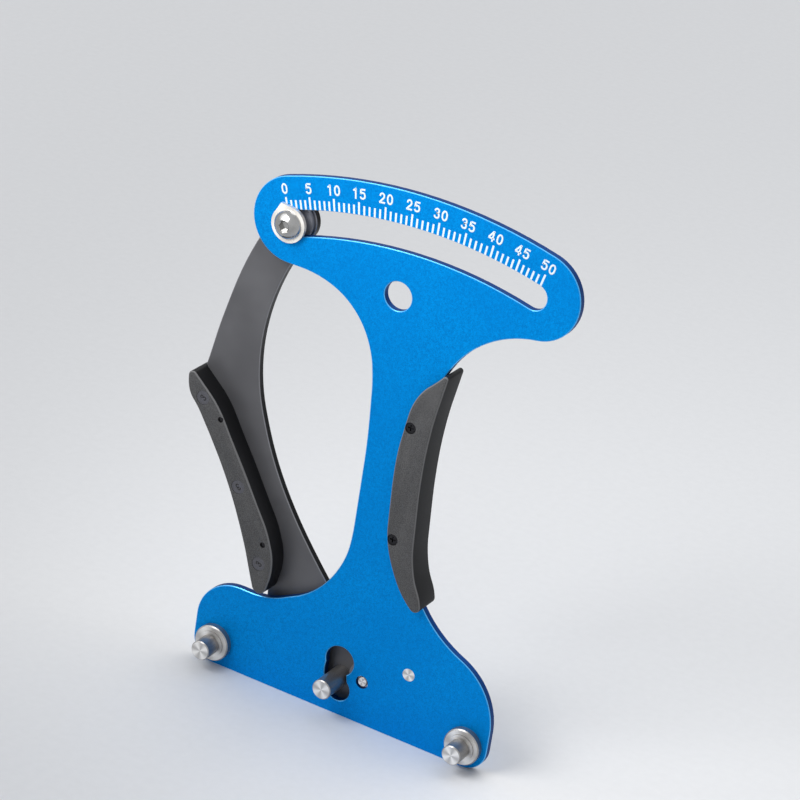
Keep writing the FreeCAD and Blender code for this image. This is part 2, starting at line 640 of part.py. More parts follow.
def coil_point(share):
    """A point of the coil's middle line and its direction; the climb starts and ends level."""
    start, end = spring_layout()[:2]
    turn = math.radians(end - start)
    angle = math.radians(start) + turn * share
    slope = 1 / (1 - COIL_EASE_SHARE)
    near = min(share, 1 - share)
    if near < COIL_EASE_SHARE:
        climbed = slope * near ** 2 / (2 * COIL_EASE_SHARE)
        steep = slope * near / COIL_EASE_SHARE
    else:
        climbed = slope * (near - COIL_EASE_SHARE / 2)
        steep = slope
    if share > 0.5:
        climbed = 1 - climbed
    rise = coil_rise()
    point = FreeCAD.Vector(COIL_R * math.cos(angle), COIL_START + rise * climbed, COIL_R * math.sin(angle))
    way = FreeCAD.Vector(-COIL_R * turn * math.sin(angle), rise * steep, COIL_R * turn * math.cos(angle))
    return point, way.normalize()


def spring_path():
    start, end, anchor_leg, stud_leg = spring_layout()
    quarters = math.ceil((end - start) / 90)
    stations = [coil_point(i / quarters) for i in range(quarters + 1)]
    first, first_way = stations[0]
    last, last_way = stations[-1]
    edges = [Part.makeLine(first - first_way * anchor_leg, first)]
    for (a, way_a), (b, way_b) in zip(stations, stations[1:]):
        edges += biarc(a, way_a, b, way_b)
    edges.append(Part.makeLine(last, last + last_way * stud_leg))
    return edges


def torsion_spring():
    edges = spring_path()
    path = Part.Wire(edges)
    start = edges[0].Vertexes[0].Point
    way = edges[0].tangentAt(edges[0].FirstParameter)
    section = Part.Wire(Part.makeCircle(WIRE_R, start, way))
    return path.makePipeShell([section], True, False)


def print_spring_gap():
    """Print the least gap between two stretches of the wire that don't follow on each other."""
    step = WIRE_R / 2
    points = []
    run = 0
    for edge in spring_path():
        count = math.ceil(edge.Length / step)
        for i in range(count):
            share = i / count
            at = edge.FirstParameter + (edge.LastParameter - edge.FirstParameter) * share
            points.append((run + edge.Length * share, edge.valueAt(at)))
        run += edge.Length
    apart = math.pi * COIL_R
    least = min((q - p).Length for s, p in points for t, q in points if t - s > apart)
    print("spring: wire %.1f mm long, least gap to itself %.2f mm" % (run, least - 2 * WIRE_R))


def spring_anchor_stud():
    end = COIL_START + WIRE_R + ANCHOR_PAST
    flange = PLATE_BACK + ANCHOR_FLANGE_T
    return turned(ANCHOR, (
        (0.0, 0.0), (ANCHOR_R, 0.0), (ANCHOR_R, PLATE_BACK),
        (ANCHOR_FLANGE_R, PLATE_BACK), (ANCHOR_FLANGE_R, flange), (ANCHOR_R, flange),
        (ANCHOR_R, end - STUD_EDGE), (ANCHOR_R - STUD_EDGE, end), (0.0, end)))


def spring_hook_stud():
    """The stud on the lever, with a groove that keeps the spring's leg in place."""
    groove_front = COIL_START + coil_rise() - WIRE_R - STUD_GROOVE_GAP
    groove_back = COIL_START + coil_rise() + WIRE_R + STUD_GROOVE_GAP
    end = groove_back + STUD_PAST
    return turned(STUD, (
        (0.0, LEVER_FRONT), (STUD_TAIL_R, LEVER_FRONT), (STUD_TAIL_R, LEVER_BACK), (STUD_R, LEVER_BACK),
        (STUD_R, groove_front), (STUD_GROOVE_R, groove_front),
        (STUD_GROOVE_R, groove_back), (STUD_R, groove_back),
        (STUD_R, end - STUD_EDGE), (STUD_R - STUD_EDGE, end), (0.0, end)))


def sleeve_end():
    """The spring sleeve keeps the dome nut clear of the last turn."""
    return COIL_START + coil_rise() + WIRE_R + COIL_LIFT


def pivot_pin():
    step = PIVOT_RECESS + PIVOT_NOSE_T
    end = sleeve_end() + DOME_H - DOME_WALL
    return turned(PIVOT, (
        (0.0, PIVOT_RECESS), (PIVOT_NOSE_R - PIVOT_EDGE, PIVOT_RECESS),
        (PIVOT_NOSE_R, PIVOT_RECESS + PIVOT_EDGE), (PIVOT_NOSE_R, step),
        (PIVOT_R, step), (PIVOT_R, end), (0.0, end)))


def dome_nut():
    """A round nut with a domed top that closes the rear end of the pivot."""
    front = sleeve_end()
    rise = DOME_H - DOME_FLAT
    dome_r = (DOME_R ** 2 + rise ** 2) / (2 * rise)
    side = rod(PIVOT, DOME_R, front, front + DOME_H)
    ball = Part.makeSphere(dome_r, FreeCAD.Vector(0, front + DOME_H - dome_r, 0))
    hole = rod(PIVOT, PIVOT_R + PRESS_GAP, front - OVERRUN, front + DOME_H - DOME_WALL)
    return side.common(ball).cut(hole)


def pointer_washer():
    """The round pointer with its point, in front of the slot."""
    back = -POINTER_GAP
    front = back - POINTER_T
    lean = 90 - POINTER_DEG - POINTER_LEAN_DEG
    tip = flat(around(POINTER, POINTER_TIP_L, lean))
    root = math.degrees(math.asin(POINTER_TIP_W / 2 / POINTER_R))
    left = flat(around(POINTER, POINTER_R, lean + root))
    right = flat(around(POINTER, POINTER_R, lean - root))
    point = Part.Face(Part.makePolygon([tip, left, flat(POINTER), right, tip]))
    point.translate(FreeCAD.Vector(0, front, 0))
    body = rod(POINTER, POINTER_R, front, back).fuse(point.extrude(FreeCAD.Vector(0, POINTER_T, 0)))
    hole = rod(POINTER, POINTER_SCREW_R + PRESS_GAP, front - OVERRUN, back + OVERRUN)
    return body.removeSplitter().cut(hole)


def pointer_sleeve():
    radius = SLOT_W / 2 - POINTER_SLEEVE_GAP
    return ring(POINTER, radius, POINTER_SCREW_R + PRESS_GAP, -POINTER_GAP, LEVER_FRONT)


def pointer_slide_washer():
    bore = SLOT_W / 2 - POINTER_SLEEVE_GAP + PRESS_GAP
    return ring(POINTER, SLIDE_WASHER_R, bore, PLATE_BACK + SIDE_GAP, LEVER_FRONT)


def pointer_screw():
    """A button-head screw with a hexagon socket."""
    seat = -POINTER_GAP - POINTER_T
    top = seat - BUTTON_H
    end = LEVER_BACK + NUT_T + SCREW_PAST_NUT
    side = seat - BUTTON_SIDE
    half = (BUTTON_R ** 2 - BUTTON_TOP_R ** 2 - (side - top) ** 2) / (2 * (side - top))
    ball_r = math.hypot(BUTTON_R, half)
    head = rod(POINTER, BUTTON_R, top, seat)
    ball = Part.makeSphere(ball_r, FreeCAD.Vector(POINTER[0], side + half, POINTER[1]))
    skirt = rod(POINTER, BUTTON_R, side, seat)
    head = head.common(ball).fuse(skirt).removeSplitter()
    shank = rod(POINTER, POINTER_SCREW_R, seat, end)
    socket = hexagon(POINTER, HEX_ACROSS, top - OVERRUN, top + HEX_DEPTH, 0)
    lead = turned(POINTER, (
        (0.0, top - OVERRUN), (HEX_LEAD_R, top - OVERRUN), (HEX_LEAD_R, top),
        (HEX_LEAD_R - HEX_LEAD_T, top + HEX_LEAD_T), (0.0, top + HEX_LEAD_T)))
    return head.fuse(shank).cut([socket, lead])


def pointer_nut():
    """The hexagon nut behind the lever."""
    back = LEVER_BACK + NUT_T
    corner = NUT_ACROSS / math.sqrt(3)
    body = hexagon(POINTER, NUT_ACROSS, LEVER_BACK, back, POINTER_DEG)
    rim = turned(POINTER, (
        (0.0, LEVER_BACK), (corner, LEVER_BACK), (corner, back - NUT_EDGE),
        (corner - NUT_EDGE, back), (0.0, back)))
    hole = rod(POINTER, POINTER_SCREW_R + PRESS_GAP, LEVER_BACK - OVERRUN, back + OVERRUN)
    return body.common(rim).cut(hole)


def build():
    pin_bore = PIVOT_R + RUN_GAP
    rear_front = LEVER_BACK + SIDE_GAP
    return {
        "dial_plate": dial_plate(),
        "post_left": fixed_post(LEFT_POST),
        "post_right": fixed_post(RIGHT_POST),
        "collar_left": collar(LEFT_POST),
        "collar_right": collar(RIGHT_POST),
        "plate_grip": plate_grip(),
        "plate_grip_screws": plate_grip_screws(),
        "pivot_pin": pivot_pin(),
        "thrust_washer": ring(PIVOT, THRUST_R, pin_bore, PLATE_BACK, LEVER_FRONT - SIDE_GAP),
        "rear_washer": ring(PIVOT, REAR_WASHER_R, pin_bore, rear_front, SLEEVE_START),
        "spring_sleeve": ring(PIVOT, SLEEVE_R, pin_bore, SLEEVE_START, sleeve_end()),
        "dome_nut": dome_nut(),
        "torsion_spring": torsion_spring(),
        "spring_anchor_stud": spring_anchor_stud(),
        "lever_arm": lever_arm(),
        "lever_bush": ring(PIVOT, BUSH_R, pin_bore, LEVER_FRONT, LEVER_BACK),
        "moving_post": moving_post(),
        "spring_hook_stud": spring_hook_stud(),
        "lever_grip": lever_grip(),
        "lever_grip_screws": lever_grip_screws(),
        "pointer_washer": pointer_washer(),
        "pointer_screw": pointer_screw(),
        "pointer_sleeve": pointer_sleeve(),
        "pointer_slide_washer": pointer_slide_washer(),
        "pointer_nut": pointer_nut(),
    }


def foot_of(pieces):
    """The middle of the whole tool at its foot."""
    boxes = [piece.optimalBoundingBox(False, False) for piece in pieces]
    low = [min(values) for values in zip(*[(b.XMin, b.YMin, b.ZMin) for b in boxes])]
    high = [max(values) for values in zip(*[(b.XMax, b.YMax, b.ZMax) for b in boxes])]
    return FreeCAD.Vector((low[0] + high[0]) / 2, (low[1] + high[1]) / 2, low[2])


os.makedirs("parts", exist_ok=True)
pieces = build()
shift = foot_of(pieces.values()).negative()
for name, piece in pieces.items():
    piece.translate(shift)
    piece.exportStep("parts/" + name + ".step")
print("pivot axis at X %.4f, Z %.4f, plate front at Y %.4f" % (shift.x, shift.z, shift.y))
print_spring_gap()
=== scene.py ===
import json
import math

import bmesh
import bpy
from mathutils import Matrix, Vector

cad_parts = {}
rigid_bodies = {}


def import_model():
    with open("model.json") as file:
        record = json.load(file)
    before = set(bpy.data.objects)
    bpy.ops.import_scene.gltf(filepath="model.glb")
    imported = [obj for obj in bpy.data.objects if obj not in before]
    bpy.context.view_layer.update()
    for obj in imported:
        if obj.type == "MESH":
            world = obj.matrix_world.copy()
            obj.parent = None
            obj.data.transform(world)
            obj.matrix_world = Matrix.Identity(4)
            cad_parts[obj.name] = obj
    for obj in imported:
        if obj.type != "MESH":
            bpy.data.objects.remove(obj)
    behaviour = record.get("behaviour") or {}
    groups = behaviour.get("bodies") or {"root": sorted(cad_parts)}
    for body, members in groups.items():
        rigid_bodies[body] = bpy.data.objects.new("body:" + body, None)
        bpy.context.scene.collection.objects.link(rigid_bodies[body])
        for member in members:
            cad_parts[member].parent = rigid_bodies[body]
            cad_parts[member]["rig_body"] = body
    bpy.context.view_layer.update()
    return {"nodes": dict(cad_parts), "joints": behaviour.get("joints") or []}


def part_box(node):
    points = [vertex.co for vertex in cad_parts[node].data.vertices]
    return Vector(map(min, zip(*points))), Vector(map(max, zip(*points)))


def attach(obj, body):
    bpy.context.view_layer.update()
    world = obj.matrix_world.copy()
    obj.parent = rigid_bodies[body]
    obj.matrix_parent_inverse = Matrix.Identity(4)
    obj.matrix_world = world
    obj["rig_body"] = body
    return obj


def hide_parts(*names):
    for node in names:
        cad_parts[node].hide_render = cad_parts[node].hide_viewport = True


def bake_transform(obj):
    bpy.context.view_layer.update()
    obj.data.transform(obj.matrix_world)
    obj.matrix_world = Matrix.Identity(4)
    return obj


# Spoke tension meter: a blue sandblasted dial plate with turned posts, a dark plastic grip and a
# white printed scale, and behind it a black lever with a grip of its own that carries the pointer.
# Places are written as in the shop drawing, in millimetres from the pivot: X to the right along
# the row of posts, Y to the back from the front of the plate, Z up to the scale. Other lengths are
# in millimetres too, except where a comment says metres.

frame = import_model()

MM = 0.001
PIVOT = Vector(frame["joints"][0]["pos_m"])
ORIGIN = Vector((PIVOT.x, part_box("dial_plate")[0].y, PIVOT.z))


def spot(x, y, z):
    """A place on the drawing as a point in the scene."""
    return ORIGIN + Vector((x, y, z)) * MM


def on_dial(radius, deg, y=0.0):
    """A point at a radius from the pivot, at an angle clockwise from straight up."""
    turn = math.radians(deg)
    return spot(radius * math.sin(turn), y, radius * math.cos(turn))


def middle(node):
    """The middle of a CAD piece."""
    low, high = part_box(node)
    return (low + high) / 2


def laid_along(x, y, z):
    """The turn that lays a thing's own axes along three directions."""
    return Matrix((x, y, z)).transposed().to_4x4()


# Finishes

class Amount:
    """A number that changes over a surface. Sums and products of it add their Math nodes."""

    def __init__(self, finish, socket):
        self.finish = finish
        self.socket = socket

    def maths(self, operation, *values):
        settings = {"operation": operation}
        return self.finish.node("ShaderNodeMath", settings, dict(enumerate(values)))

    def __add__(self, other):
        return self.maths("ADD", self, other)

    def __sub__(self, other):
        return self.maths("SUBTRACT", self, other)

    def __rsub__(self, other):
        return self.maths("SUBTRACT", other, self)

    def __mul__(self, other):
        return self.maths("MULTIPLY", self, other)

    __radd__ = __add__
    __rmul__ = __mul__

    def size(self):
        return self.maths("ABSOLUTE", self)

    def root(self):
        return self.maths("SQRT", self)

    def sine(self):
        return self.maths("SINE", self)

    def turn(self, other):
        """The angle of the point (other, self) about the middle."""
        return self.maths("ARCTAN2", self, other)

    def between(self, low, high):
        """0 below low, 1 above high and a smooth rise between them."""
        settings = {"interpolation_type": "SMOOTHSTEP"}
        return self.finish.node("ShaderNodeMapRange", settings, {0: self, 1: low, 2: high})


class Nodes:
    """A node tree with one shader that the other nodes feed."""

    def __init__(self, tree, shader):
        self.tree = tree
        self.shader = tree.nodes[shader]

    def feed(self, socket, value):
        """Give a socket of the shader a number, a colour or an amount."""
        target = self.shader.inputs[socket.replace("_", " ").title().replace("Ior", "IOR")]
        if isinstance(value, Amount):
            self.tree.links.new(value.socket, target)
        else:
            target.default_value = value

    def node(self, kind, settings=None, sockets=None, out=0):
        """Add a node, set it up and return one of its outputs."""
        made = self.tree.nodes.new(kind)
        for name, value in (settings or {}).items():
            setattr(made, name, value)
        for key, value in (sockets or {}).items():
            if isinstance(value, Amount):
                self.tree.links.new(value.socket, made.inputs[key])
            else:
                made.inputs[key].default_value = value
        return Amount(self, made.outputs[out])


class Finish(Nodes):
    """A material: a Principled shader and what varies it over the surface."""

    CHAMFER_LEAN = 0.707        # lean of a chamfer at 45 degrees
    CHAMFER_FOCUS = 7.0         # how soon its painted highlight ends when the surface leans otherwise

    def __init__(self, name, **values):
        self.material = bpy.data.materials.new(name)
        self.material.use_nodes = True
        super().__init__(self.material.node_tree, "Principled BSDF")
        for socket, value in values.items():
            self.feed(socket, value)

    def place(self, centre=None):
        """The point on the piece in metres, measured from centre if one is given."""
        point = self.node("ShaderNodeTexCoord", out="Object")
        if centre is None:
            return point
        return self.node("ShaderNodeMapping", {"vector_type": "POINT"}, {0: point, 1: -centre})

    def axis(self, vector, letter):
        return self.node("ShaderNodeSeparateXYZ", None, {0: vector}, out=letter)

    def lean(self):
        """How far the surface faces the front or the back: 1 on flat faces, 0 on the sides."""
        facing = self.node("ShaderNodeTexCoord", out="Normal")
        return self.axis(facing, "Y").size()

    def chamfer(self, lean):
        """1 on the chamfers and 0 on faces and sides."""
        return 1 - ((lean - self.CHAMFER_LEAN).size() * self.CHAMFER_FOCUS).between(0.3, 1.0)

    def side(self, lean):
        """1 on the sides and 0 on faces and chamfers: where the finishes paint shade."""
        return 1 - lean.between(0.2, 0.5)

    def grain(self, size_mm, detail=2.0, rough=0.5):
        """Noise about 0.5 whose blotches are about size_mm wide."""
        sockets = {"Vector": self.place(), "Scale": 1.0 / (size_mm * MM), "Detail": detail,
                   "Roughness": rough}
        return self.node("ShaderNodeTexNoise", None, sockets)

    def mix(self, share, first, second):
        sockets = {"Factor": share, 6: first, 7: second}
        return self.node("ShaderNodeMix", {"data_type": "RGBA"}, sockets, out=2)

    def bump(self, height, depth_mm, strength=1.0):
        """Feed a relief of depth_mm to the shader's normal."""
        sockets = {"Height": height, "Distance": depth_mm * MM, "Strength": strength}
        self.feed("normal", self.node("ShaderNodeBump", None, sockets))


def shade(red, green, blue):
    """A screen colour, 0 to 255, as the linear colour that the shader takes."""
    def linear(value):
        value = value / 255
        return value / 12.92 if value <= 0.04045 else ((value + 0.055) / 1.055) ** 2.4
    return (linear(red), linear(green), linear(blue), 1.0)


def blue_anodised():
    """Sandblasted aluminium, anodised blue, with a painted highlight on its chamfers and painted
    shade on its milled sides.
    """
    made = Finish("blue_sandblasted_anodised", metallic=0.6, specular_ior_level=0.05)
    lean = made.lean()
    chamfer = made.chamfer(lean)
    fine = made.grain(0.26, detail=3.0, rough=0.7)
    cloud = made.grain(0.8)
    broad = made.grain(30.0, detail=1.0)
    blast = fine * 0.75 + cloud * 0.25
    face = made.mix(blast.between(0.38, 0.62), shade(0, 122, 200), shade(0, 149, 230))
    face = made.mix(broad.between(0.35, 0.65) * 0.25, face, shade(0, 124, 206))
    # Painted shade: the sides dark navy.
    face = made.mix(made.side(lean), face, shade(6, 58, 120))
    # Painted highlight: the chamfers light blue.
    made.feed("base color", made.mix(chamfer, face, shade(96, 184, 246)))
    made.feed("roughness", 0.46 + (fine - 0.5) * 0.25 - chamfer * 0.16)
    made.bump(blast, 0.04, 0.8)
    return made.material


def black_lever():
    """Satin black anodised aluminium: a very fine grain, a painted highlight on the chamfers and
    painted shade that makes the sides deep black.
    """
    made = Finish("black_satin_anodised")
    lean = made.lean()
    side = made.side(lean)
    fine = made.grain(0.2, detail=1.0)
    broad = made.grain(18.0)
    face = made.mix(broad.between(0.3, 0.7), shade(86, 86, 89), shade(97, 97, 100))
    # Painted shade: the sides near black, and made metallic below so that they reflect little.
    face = made.mix(side, face, shade(20, 20, 22))
    # Painted highlight: the chamfers lighter grey.
    made.feed("base color", made.mix(made.chamfer(lean), face, shade(128, 128, 132)))
    made.feed("metallic", 0.35 + side * 0.6)
    made.feed("roughness", 0.4 + (fine - 0.5) * 0.2 + (broad - 0.5) * 0.08)
    made.bump(fine, 0.008, 0.5)
    return made.material


RING_PITCH = 0.16               # from one turned ring to the next
PAINTED_SHEEN_RAYS = 4.0                 # light rays of the painted sheen on a turned end
PAINTED_SHEEN_TURN = 0.9                 # where the rays stand, in radians


def turned(name, centre, light=(255, 253, 250), dark=(112, 109, 107), metallic=0.7):
    """Steel turned on a lathe: fine rings round the piece's own axis, a painted sheen in rays on
    its ends and painted shade that darkens its shafts.
    """
    made = Finish(name, metallic=metallic)
    point = made.place(centre)
    x = made.axis(point, "X")
    z = made.axis(point, "Z")
    y = made.axis(point, "Y")
    radius = (x * x + z * z).root()
    per_metre = 2 * math.pi / (RING_PITCH * MM)
    rings = (radius * per_metre).sine()
    rounds = (y * per_metre).sine()
    end = made.lean().between(0.6, 0.9)
    painted_sheen = (x.turn(z) * PAINTED_SHEEN_RAYS + PAINTED_SHEEN_TURN).sine() * 0.5 + 0.5
    scuff = made.grain(0.5, detail=3.0)
    # Painted light: a sheen in rays on the ends and shade that darkens the shafts; only the scuffs
    # are random. light and dark are its lit and shaded tones.
    share = end * painted_sheen * 0.5 + (1 - end) * 0.85 + scuff * 0.12
    made.feed("base color", made.mix(share, shade(*light), shade(*dark)))
    made.feed("roughness", 0.24 + scuff * 0.12 + end * 0.06)
    made.bump(rings * end + rounds * (1 - end), 0.004, 0.5)
    return made.material


def spring_wire():
    """Drawn steel wire with long streaks."""
    made = Finish("spring_wire_steel", metallic=1.0)
    streak = made.grain(2.0, detail=3.0).between(0.3, 0.7)
    fine = made.grain(0.12, detail=1.0)
    made.feed("base color", made.mix(streak, shade(200, 198, 195), shade(172, 170, 167)))
    made.feed("roughness", 0.22 + fine * 0.16)
    made.bump(fine, 0.004, 0.4)
    return made.material


def bright_plate():
    """Polished bright plate with a faint haze."""
    made = Finish("bright_polished_plate", metallic=1.0)
    haze = made.grain(3.0)
    fine = made.grain(0.15, detail=1.0)
    cloud = haze.between(0.3, 0.7)
    made.feed("base color", made.mix(cloud, shade(186, 185, 183), shade(170, 169, 167)))
    made.feed("roughness", 0.14 + haze * 0.1)
    made.bump(fine, 0.001, 0.3)
    return made.material


def bronze_bush():
    """Bronze as the tool leaves it."""
    made = Finish("bronze_machined", metallic=1.0)
    fine = made.grain(0.4)
    stain = fine.between(0.3, 0.7)
    made.feed("base color", made.mix(stain, shade(176, 138, 88), shade(140, 105, 62)))
    made.feed("roughness", 0.3 + fine * 0.15)
    made.bump(fine, 0.004, 0.4)
    return made.material


def grip_plastic():
    """Dark grey moulded plastic with a fine spark-eroded texture, painted shade that darkens the
    walls and a painted highlight on the chamfers.
    """
    made = Finish("grip_moulded_plastic", specular_ior_level=0.2)
    fine = made.grain(0.28, detail=3.0, rough=0.7)
    cloud = made.grain(5.0)
    lean = made.lean()
    speckle = (fine * 0.9 + cloud * 0.1).between(0.36, 0.64)
    face = made.mix(speckle, shade(60, 60, 61), shade(89, 89, 90))
    # Painted shade: the walls darker.
    face = made.mix(made.side(lean), face, shade(24, 24, 26))
    # Painted highlight: the chamfers lighter grey.
    made.feed("base color", made.mix(made.chamfer(lean), face, shade(108, 108, 109)))
    made.feed("roughness", 0.56 + (fine - 0.5) * 0.2)
    made.bump(fine, 0.03, 0.6)
    return made.material


def smooth_plastic(name, dark, light):
    """The grips' plastic where the mould is polished."""
    made = Finish(name, specular_ior_level=0.4)
    fine = made.grain(0.3)
    made.feed("base color", made.mix(fine.between(0.35, 0.65), shade(*dark), shade(*light)))
    made.feed("roughness", 0.36 + fine * 0.12)
    made.bump(fine, 0.01, 0.4)
    return made.material


def screw_black():
    """Black oxide on steel screws."""
    made = Finish("screw_black_oxide", metallic=0.9)
    fine = made.grain(0.15)
    made.feed("base color", made.mix(fine, shade(30, 30, 32), shade(60, 60, 63)))
    made.feed("roughness", 0.18 + fine * 0.14)
    made.bump(fine, 0.004, 0.4)
    return made.material


def washer_plastic():
    """Grey bearing plastic."""
    made = Finish("washer_grey_plastic")
    fine = made.grain(0.3)
    made.feed("base color", made.mix(fine, shade(108, 110, 117), shade(128, 130, 137)))
    made.feed("roughness", 0.4 + fine * 0.15)
    made.bump(fine, 0.006, 0.4)
    return made.material


def scale_print():
    """White print, slightly uneven over the blasted surface."""
    made = Finish("scale_white_print", specular_ior_level=0.2)
    fine = made.grain(0.3)
    worn = fine.between(0.3, 0.8)
    made.feed("base color", made.mix(worn, shade(216, 225, 236), shade(192, 206, 224)))
    made.feed("roughness", 0.5 + fine * 0.15)
    made.bump(fine, 0.006, 0.4)
    return made.material


def pale_floor():
    """Pale paper under the meter."""
    made = Finish("floor_pale_paper", specular_ior_level=0.2)
    soft = made.grain(3.0, detail=3.0)
    made.feed("base color", made.mix(soft, shade(226, 227, 229), shade(232, 233, 235)))
    made.feed("roughness", 0.7 + soft * 0.1)
    return made.material


# Pieces

def in_scene(name, data):
    """A new object in the scene."""
    made = bpy.data.objects.new(name, data)
    bpy.context.scene.collection.objects.link(made)
    return made


def solid(name, shape, finish):
    """A bmesh as an object with its finish."""
    mesh = bpy.data.meshes.new(name)
    shape.to_mesh(mesh)
    shape.free()
    mesh.materials.append(finish)
    return in_scene(name, mesh)


def piece(name, shape, finish, body):
    """A finished piece of the meter: the body that it moves with, if any."""
    made = solid(name, shape, finish)
    if body:
        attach(made, body)
    return made


# Angles on the dial of 0, 5, 10 ... 50
MARK_DEG = (-18.9, -15.87, -12.76, -9.59, -6.25, -2.93, 0.42, 3.76, 7.18, 10.51, 13.79)
MARK_STEP = 5
SLOT_EDGE_R = 150.0
RIM = 0.22                      # chamfer of the plate, which the ticks run down
TICK_LOW = 153.0                # radius where a short tick ends
TICK_HIGH = 153.95              # radius where the tick of a number ends
TICK_WIDTH = 0.62
PRINT_PROUD = 0.025             # how far the print stands on the plate
NUMBER_FOOT = 154.85            # radius of the numbers' feet
NUMBER_HEIGHT = 3.35


def tick_deg(value):
    """Where a reading stands on the dial: evenly spread between the numbered marks."""
    mark, rest = divmod(value, MARK_STEP)
    if rest == 0:
        return MARK_DEG[mark]
    return MARK_DEG[mark] + (MARK_DEG[mark + 1] - MARK_DEG[mark]) * rest / MARK_STEP


def dial_frame(radius, deg, depth=0.0, tilt=0.0):
    """Where print stands on the dial: X along the scale, Y out along the radius, Z to the front."""
    turn = math.radians(deg)
    along = Vector((math.cos(turn), 0.0, -math.sin(turn)))
    out = Vector((math.sin(turn), 0.0, math.cos(turn)))
    front = Vector((0.0, -1.0, 0.0))
    where = Matrix.Translation(on_dial(radius, deg, depth)) @ laid_along(along, out, front)
    return where @ Matrix.Rotation(math.radians(tilt), 4, "X")


def scale_ticks():
    """The marks from the edge of the slot outwards, and their feet on its chamfer."""
    marks = bmesh.new()

    def bar(length, where):
        size = Matrix.Diagonal((TICK_WIDTH * MM, length * MM, 2 * PRINT_PROUD * MM, 1.0))
        bmesh.ops.create_cube(marks, size=1.0, matrix=where @ size)

    foot = SLOT_EDGE_R + RIM
    for value in range(MARK_STEP * (len(MARK_DEG) - 1) + 1):
        deg = tick_deg(value)
        top = TICK_LOW if value % MARK_STEP else TICK_HIGH
        bar(top - foot, dial_frame((top + foot) / 2, deg))
        bar(RIM * math.sqrt(2), dial_frame(SLOT_EDGE_R + RIM / 2, deg, RIM / 2, 45.0))
    return marks


# Middle lines of the digits, in hundredths of their height. A closed line ends where it starts.
STROKES = {
    "0": (((0, 91), (16, 80), (22, 50), (16, 20), (0, 9), (-16, 20), (-22, 50), (-16, 80),
           (0, 91)),),
    "1": (((7, 0), (7, 100)), ((-18, 75), (-3, 80), (6, 93))),
    "2": (((-21, 66), (-15, 84), (0, 91), (15, 84), (20, 68), (14, 52), (-6, 30), (-20, 12)),
          ((-29, 9), (29, 9))),
    "3": (((-21, 70), (-13, 86), (0, 91), (13, 86), (18, 72), (13, 59), (0, 54), (-8, 54)),
          ((-8, 54), (3, 54), (16, 47), (21, 31), (15, 14), (0, 9), (-15, 14), (-22, 30))),
    "4": (((11, 0), (11, 100)), ((8, 93), (-27, 31)), ((-33, 28), (29, 28))),
    "5": (((-17, 91), (26, 91)), ((-17, 93), (-20, 48)),
          ((-20, 50), (-11, 60), (2, 62), (16, 55), (22, 36), (16, 16), (0, 9), (-15, 13),
           (-23, 27))),
}
# Both as shares of the height
DIGIT_STROKE = 0.185            # width of the lines
DIGIT_STEP = 0.77               # from one digit to the next


def number_shape(text, height, proud):
    """A number drawn with flat strokes, centred on X and standing on Y = 0."""
    curve = bpy.data.curves.new("number", "CURVE")
    curve.dimensions = "3D"
    curve.bevel_depth = DIGIT_STROKE / 2
    curve.bevel_resolution = 1
    curve.use_fill_caps = True
    curve.resolution_u = 3
    for place, digit in enumerate(text):
        shift = (place - (len(text) - 1) / 2) * DIGIT_STEP
        for line in STROKES[digit]:
            closed = line[0] == line[-1]
            points = line[:-1] if closed else line
            spline = curve.splines.new("BEZIER")
            spline.bezier_points.add(len(points) - 1)
            spline.use_cyclic_u = closed
            for point, (x, y) in zip(spline.bezier_points, points):
                point.co = (x / 100 + shift, y / 100, 0.0)
                point.handle_left_type = point.handle_right_type = "AUTO"
    holder = in_scene("number", curve)
    bpy.context.view_layer.update()
    mesh = bpy.data.meshes.new_from_object(holder)
    bpy.data.objects.remove(holder)
    shape = bmesh.new()
    shape.from_mesh(mesh)
    bpy.data.meshes.remove(mesh)
    thin = proud * MM / (DIGIT_STROKE / 2)
    bmesh.ops.scale(shape, vec=(height * MM, height * MM, thin), verts=shape.verts)
    bmesh.ops.recalc_face_normals(shape, faces=shape.faces)
    return shape


def gather(shapes):
    """Several shapes, each with its place, as one."""
    whole = bmesh.new()
    for shape, where in shapes:
        bmesh.ops.transform(shape, matrix=where, verts=shape.verts)
        holder = bpy.data.meshes.new("holder")
        shape.to_mesh(holder)
        shape.free()
        whole.from_mesh(holder)
        bpy.data.meshes.remove(holder)
    return whole


def scale_numbers():
    """The printed numbers over their ticks."""
    values = range(0, MARK_STEP * len(MARK_DEG), MARK_STEP)
    return gather((number_shape(str(value), NUMBER_HEIGHT, PRINT_PROUD),
                   dial_frame(NUMBER_FOOT, tick_deg(value))) for value in values)


# Ejector marks on the lever's grip: X, Z and the turn of the number in degrees
CAVITY_MARKS = ((-39.9, 27.2, 67.0), (-50.7, 49.9, 224.0), (-67.0, 74.6, 67.0))
CAVITY_HEIGHT = 2.3
CAVITY_PROUD = 0.09
EJECTOR_R = 2.3
EJECTOR_DEPTH = 0.15
DISC_THICK = 0.04
DISC_PLAY = 0.02                # gap round the foot of the smooth disc
DISC_DRAFT = 0.1                # the same round its top


def cavity_places():
    """The middle of each ejector mark's floor on the lever's grip, turned as its number stands."""
    floor_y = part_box("lever_grip")[0].y + EJECTOR_DEPTH * MM
    upright = Matrix.Rotation(math.radians(90), 4, "X")
    for x, z, turn in CAVITY_MARKS:
        centre = spot(x, 0.0, z)
        centre.y = floor_y
        yield Matrix.Translation(centre) @ (upright @ Matrix.Rotation(math.radians(turn), 4, "Z"))


def cavity_numbers():
    """The number of the mould's cavity, raised in each ejector mark."""
    centred = Matrix.Translation((0.0, -CAVITY_HEIGHT / 2 * MM, 0.0))
    return gather((number_shape("3", CAVITY_HEIGHT, CAVITY_PROUD), where @ centred)
                  for where in cavity_places())


